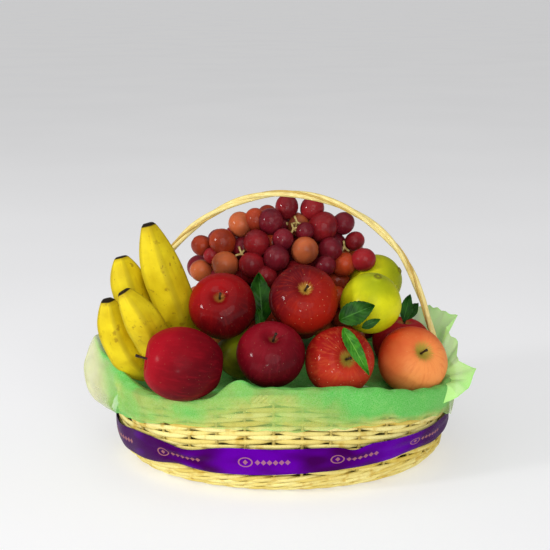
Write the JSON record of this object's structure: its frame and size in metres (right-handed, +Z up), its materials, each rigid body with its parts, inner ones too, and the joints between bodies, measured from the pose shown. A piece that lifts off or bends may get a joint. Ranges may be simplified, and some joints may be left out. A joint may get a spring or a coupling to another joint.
{
  "type": "fruit gift basket",
  "caption": "Oval wicker basket with a hoop handle, a green tulle liner folded over the rim and a satin band, piled with apples, guavas, bananas, red grapes and leaves.",
  "frame": {"origin": "middle of the basket's flat underside, on the surface that it stands on", "axes": "+X along the basket's length, to the right as seen from the front; +Y to the back; +Z up; the front row of apples faces -Y"},
  "size_m": [0.3903, 0.2839, 0.2676],
  "materials": {
    "wicker": "woven bleached willow, satin",
    "cane": "twisted peeled cane, satin",
    "satin": "dark violet satin ribbon with a bright sheen",
    "tulle": "sheer light green tulle",
    "apple_skin": "waxy red apple skin",
    "guava_skin": "smooth yellow-green fruit skin",
    "banana_skin": "ripe yellow peel with brown flecks",
    "grape_skin": "dark red grape skin with a pale bloom",
    "leaf_green": "green leaf, slightly waxy"
  },
  "bodies": {
    "root": {"basket": "wicker", "handle": "cane", "ribbon": "satin", "liner": "tulle", "apple_front_left": "apple_skin", "apple_upper_left": "apple_skin", "apple_top": "apple_skin", "apple_front_middle": "apple_skin", "apple_front_right": "apple_skin", "apple_right": "apple_skin", "apple_behind_right": "apple_skin", "guava_right": "guava_skin", "guava_behind": "guava_skin", "guava_below": "guava_skin", "banana_1": "banana_skin", "banana_2": "banana_skin", "banana_3": "banana_skin", "banana_4": "banana_skin", "grapes": "grape_skin", "leaf_big": "leaf_green", "leaf_small": "leaf_green", "leaf_long": "leaf_green", "leaf_between": "leaf_green", "leaf_low": "leaf_green", "leaf_spiky_tall": "leaf_green", "leaf_spiky_side": "leaf_green"}
  },
  "joints": []
}
